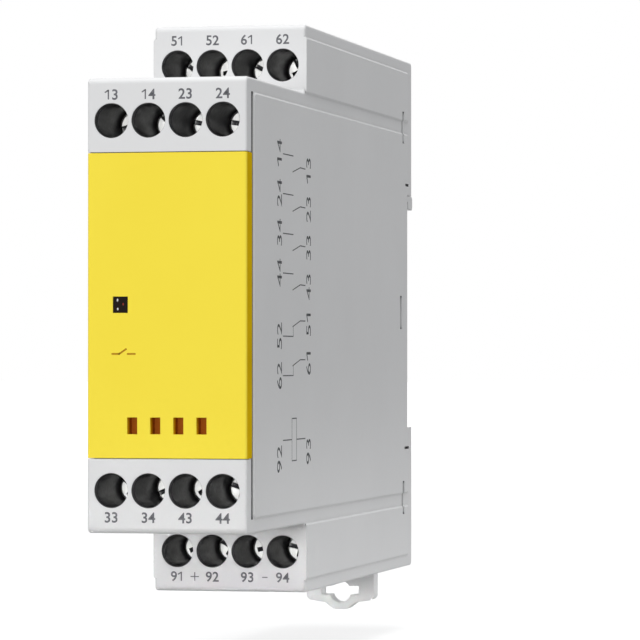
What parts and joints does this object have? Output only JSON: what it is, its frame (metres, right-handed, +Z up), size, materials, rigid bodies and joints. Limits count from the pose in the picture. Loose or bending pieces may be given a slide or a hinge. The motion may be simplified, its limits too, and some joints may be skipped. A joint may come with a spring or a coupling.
{
  "type": "safety relay",
  "caption": "Slim DIN-rail safety relay: grey housing with set-back wings, yellow front cover, screw terminals and a sprung rail foot.",
  "frame": {"origin": "centre of the rail seat: on the plane that rests on the rail's front face, at the rail's centreline and the middle of the width", "axes": "+X to the right seen from the front, +Y towards the rail and the mounting panel (the front faces -Y), +Z up"},
  "size_m": [0.0226, 0.1108, 0.0878],
  "materials": {
    "housing_plastic": "light grey moulded thermoplastic, fine satin grain",
    "cover_plastic": "yellow moulded thermoplastic, satin",
    "lens": "dark smoked lens",
    "terminal_plastic": "black glass-filled polyamide",
    "screw_steel": "nickel-plated steel",
    "clamp_steel": "zinc-plated steel",
    "lead_copper": "tin-plated copper",
    "board": "glass-epoxy circuit board, green solder resist",
    "relay_plastic": "white polyester",
    "relay_cover_plastic": "pale translucent polycarbonate",
    "magnet_iron": "nickel-plated soft iron",
    "winding": "enamelled copper wire",
    "contact_metal": "copper alloy with silver rivets",
    "spring_steel": "spring steel wire",
    "led_plastic": "green tinted resin",
    "capacitor_can": "sleeved aluminium can",
    "component_plastic": "black moulded resin",
    "varistor_coat": "blue coating"
  },
  "bodies": {
    "housing": {"housing_shell": "housing_plastic", "rear_base": "housing_plastic", "front_cover": "cover_plastic", "indicator_window": "lens", "circuit_board": "board", "terminal_leads": "lead_copper", "relay_base": "relay_plastic", "relay_cover": "relay_cover_plastic", "coil_bobbin": "relay_plastic", "coil_winding": "winding", "coil_core": "magnet_iron", "relay_yoke": "magnet_iron", "card_return_spring": "spring_steel", "moving_contact_springs": "contact_metal", "fixed_contact_springs": "contact_metal", "indicator_led": "led_plastic", "supply_capacitor": "capacitor_can", "rectifier_bridge": "component_plastic", "varistor": "varistor_coat", "foot_spring": "spring_steel", "terminal_block_wing_upper": "terminal_plastic", "terminal_block_front_upper": "terminal_plastic", "terminal_block_front_lower": "terminal_plastic", "terminal_block_wing_lower": "terminal_plastic"},
    "rail_foot": {"rail_foot": "housing_plastic"},
    "armature": {"armature": "magnet_iron"},
    "actuator_card": {"actuator_card": "relay_plastic"},
    "screw_51": {"screw_51": "screw_steel"},
    "clamp_51": {"clamp_51": "clamp_steel"},
    "screw_52": {"screw_52": "screw_steel"},
    "clamp_52": {"clamp_52": "clamp_steel"},
    "screw_61": {"screw_61": "screw_steel"},
    "clamp_61": {"clamp_61": "clamp_steel"},
    "screw_62": {"screw_62": "screw_steel"},
    "clamp_62": {"clamp_62": "clamp_steel"},
    "screw_13": {"screw_13": "screw_steel"},
    "clamp_13": {"clamp_13": "clamp_steel"},
    "screw_14": {"screw_14": "screw_steel"},
    "clamp_14": {"clamp_14": "clamp_steel"},
    "screw_23": {"screw_23": "screw_steel"},
    "clamp_23": {"clamp_23": "clamp_steel"},
    "screw_24": {"screw_24": "screw_steel"},
    "clamp_24": {"clamp_24": "clamp_steel"},
    "screw_33": {"screw_33": "screw_steel"},
    "clamp_33": {"clamp_33": "clamp_steel"},
    "screw_34": {"screw_34": "screw_steel"},
    "clamp_34": {"clamp_34": "clamp_steel"},
    "screw_43": {"screw_43": "screw_steel"},
    "clamp_43": {"clamp_43": "clamp_steel"},
    "screw_44": {"screw_44": "screw_steel"},
    "clamp_44": {"clamp_44": "clamp_steel"},
    "screw_91": {"screw_91": "screw_steel"},
    "clamp_91": {"clamp_91": "clamp_steel"},
    "screw_92": {"screw_92": "screw_steel"},
    "clamp_92": {"clamp_92": "clamp_steel"},
    "screw_93": {"screw_93": "screw_steel"},
    "clamp_93": {"clamp_93": "clamp_steel"},
    "screw_94": {"screw_94": "screw_steel"},
    "clamp_94": {"clamp_94": "clamp_steel"}
  },
  "joints": [
    {"name": "foot_slide", "type": "slide", "parent": "housing", "child": "rail_foot", "axis": [0, 0, -1], "range_m": [0, 0.003], "stiffness_N_per_m": 2500, "springref_m": -0.002, "deforming": ["foot_spring"]},
    {"name": "armature_hinge", "type": "hinge", "parent": "housing", "child": "armature", "pos_m": [-0.0049, -0.0403, 0], "axis": [0, 0, -1], "range_deg": [0, 4]},
    {"name": "card_slide", "type": "slide", "parent": "housing", "child": "actuator_card", "axis": [0, -1, 0], "range_m": [0, 0.000869], "stiffness_N_per_m": 300, "springref_m": -0.002, "deforming": ["card_return_spring", "moving_contact_springs"]},
    {"name": "screw_51_turn", "type": "hinge", "parent": "housing", "child": "screw_51", "pos_m": [-0.00773, -0.0597, 0.0346], "axis": [0, 1, 0], "range_deg": [0, 2160]},
    {"name": "clamp_51_lift", "type": "slide", "parent": "housing", "child": "clamp_51", "axis": [0, -1, 0], "range_m": [0, 0.003]},
    {"name": "screw_52_turn", "type": "hinge", "parent": "housing", "child": "screw_52", "pos_m": [-0.00258, -0.0597, 0.0346], "axis": [0, 1, 0], "range_deg": [0, 2160]},
    {"name": "clamp_52_lift", "type": "slide", "parent": "housing", "child": "clamp_52", "axis": [0, -1, 0], "range_m": [0, 0.003]},
    {"name": "screw_61_turn", "type": "hinge", "parent": "housing", "child": "screw_61", "pos_m": [0.00258, -0.0597, 0.0346], "axis": [0, 1, 0], "range_deg": [0, 2160]},
    {"name": "clamp_61_lift", "type": "slide", "parent": "housing", "child": "clamp_61", "axis": [0, -1, 0], "range_m": [0, 0.003]},
    {"name": "screw_62_turn", "type": "hinge", "parent": "housing", "child": "screw_62", "pos_m": [0.00773, -0.0597, 0.0346], "axis": [0, 1, 0], "range_deg": [0, 2160]},
    {"name": "clamp_62_lift", "type": "slide", "parent": "housing", "child": "clamp_62", "axis": [0, -1, 0], "range_m": [0, 0.003]},
    {"name": "screw_13_turn", "type": "hinge", "parent": "housing", "child": "screw_13", "pos_m": [-0.00773, -0.0942, 0.02485], "axis": [0, 1, 0], "range_deg": [0, 2160]},
    {"name": "clamp_13_lift", "type": "slide", "parent": "housing", "child": "clamp_13", "axis": [0, -1, 0], "range_m": [0, 0.003]},
    {"name": "screw_14_turn", "type": "hinge", "parent": "housing", "child": "screw_14", "pos_m": [-0.00258, -0.0942, 0.02485], "axis": [0, 1, 0], "range_deg": [0, 2160]},
    {"name": "clamp_14_lift", "type": "slide", "parent": "housing", "child": "clamp_14", "axis": [0, -1, 0], "range_m": [0, 0.003]},
    {"name": "screw_23_turn", "type": "hinge", "parent": "housing", "child": "screw_23", "pos_m": [0.00258, -0.0942, 0.02485], "axis": [0, 1, 0], "range_deg": [0, 2160]},
    {"name": "clamp_23_lift", "type": "slide", "parent": "housing", "child": "clamp_23", "axis": [0, -1, 0], "range_m": [0, 0.003]},
    {"name": "screw_24_turn", "type": "hinge", "parent": "housing", "child": "screw_24", "pos_m": [0.00773, -0.0942, 0.02485], "axis": [0, 1, 0], "range_deg": [0, 2160]},
    {"name": "clamp_24_lift", "type": "slide", "parent": "housing", "child": "clamp_24", "axis": [0, -1, 0], "range_m": [0, 0.003]},
    {"name": "screw_33_turn", "type": "hinge", "parent": "housing", "child": "screw_33", "pos_m": [-0.00773, -0.0942, -0.02485], "axis": [0, 1, 0], "range_deg": [0, 2160]},
    {"name": "clamp_33_lift", "type": "slide", "parent": "housing", "child": "clamp_33", "axis": [0, -1, 0], "range_m": [0, 0.003]},
    {"name": "screw_34_turn", "type": "hinge", "parent": "housing", "child": "screw_34", "pos_m": [-0.00258, -0.0942, -0.02485], "axis": [0, 1, 0], "range_deg": [0, 2160]},
    {"name": "clamp_34_lift", "type": "slide", "parent": "housing", "child": "clamp_34", "axis": [0, -1, 0], "range_m": [0, 0.003]},
    {"name": "screw_43_turn", "type": "hinge", "parent": "housing", "child": "screw_43", "pos_m": [0.00258, -0.0942, -0.02485], "axis": [0, 1, 0], "range_deg": [0, 2160]},
    {"name": "clamp_43_lift", "type": "slide", "parent": "housing", "child": "clamp_43", "axis": [0, -1, 0], "range_m": [0, 0.003]},
    {"name": "screw_44_turn", "type": "hinge", "parent": "housing", "child": "screw_44", "pos_m": [0.00773, -0.0942, -0.02485], "axis": [0, 1, 0], "range_deg": [0, 2160]},
    {"name": "clamp_44_lift", "type": "slide", "parent": "housing", "child": "clamp_44", "axis": [0, -1, 0], "range_m": [0, 0.003]},
    {"name": "screw_91_turn", "type": "hinge", "parent": "housing", "child": "screw_91", "pos_m": [-0.00773, -0.0597, -0.0346], "axis": [0, 1, 0], "range_deg": [0, 2160]},
    {"name": "clamp_91_lift", "type": "slide", "parent": "housing", "child": "clamp_91", "axis": [0, -1, 0], "range_m": [0, 0.003]},
    {"name": "screw_92_turn", "type": "hinge", "parent": "housing", "child": "screw_92", "pos_m": [-0.00258, -0.0597, -0.0346], "axis": [0, 1, 0], "range_deg": [0, 2160]},
    {"name": "clamp_92_lift", "type": "slide", "parent": "housing", "child": "clamp_92", "axis": [0, -1, 0], "range_m": [0, 0.003]},
    {"name": "screw_93_turn", "type": "hinge", "parent": "housing", "child": "screw_93", "pos_m": [0.00258, -0.0597, -0.0346], "axis": [0, 1, 0], "range_deg": [0, 2160]},
    {"name": "clamp_93_lift", "type": "slide", "parent": "housing", "child": "clamp_93", "axis": [0, -1, 0], "range_m": [0, 0.003]},
    {"name": "screw_94_turn", "type": "hinge", "parent": "housing", "child": "screw_94", "pos_m": [0.00773, -0.0597, -0.0346], "axis": [0, 1, 0], "range_deg": [0, 2160]},
    {"name": "clamp_94_lift", "type": "slide", "parent": "housing", "child": "clamp_94", "axis": [0, -1, 0], "range_m": [0, 0.003]}
  ],
  "couplings": [
    {"joint": "armature_hinge", "follows": "card_slide", "rad_per_m": 80.32},
    {"joint": "screw_51_turn", "follows": "clamp_51_lift", "rad_per_m": 12566},
    {"joint": "screw_52_turn", "follows": "clamp_52_lift", "rad_per_m": 12566},
    {"joint": "screw_61_turn", "follows": "clamp_61_lift", "rad_per_m": 12566},
    {"joint": "screw_62_turn", "follows": "clamp_62_lift", "rad_per_m": 12566},
    {"joint": "screw_13_turn", "follows": "clamp_13_lift", "rad_per_m": 12566},
    {"joint": "screw_14_turn", "follows": "clamp_14_lift", "rad_per_m": 12566},
    {"joint": "screw_23_turn", "follows": "clamp_23_lift", "rad_per_m": 12566},
    {"joint": "screw_24_turn", "follows": "clamp_24_lift", "rad_per_m": 12566},
    {"joint": "screw_33_turn", "follows": "clamp_33_lift", "rad_per_m": 12566},
    {"joint": "screw_34_turn", "follows": "clamp_34_lift", "rad_per_m": 12566},
    {"joint": "screw_43_turn", "follows": "clamp_43_lift", "rad_per_m": 12566},
    {"joint": "screw_44_turn", "follows": "clamp_44_lift", "rad_per_m": 12566},
    {"joint": "screw_91_turn", "follows": "clamp_91_lift", "rad_per_m": 12566},
    {"joint": "screw_92_turn", "follows": "clamp_92_lift", "rad_per_m": 12566},
    {"joint": "screw_93_turn", "follows": "clamp_93_lift", "rad_per_m": 12566},
    {"joint": "screw_94_turn", "follows": "clamp_94_lift", "rad_per_m": 12566}
  ]
}
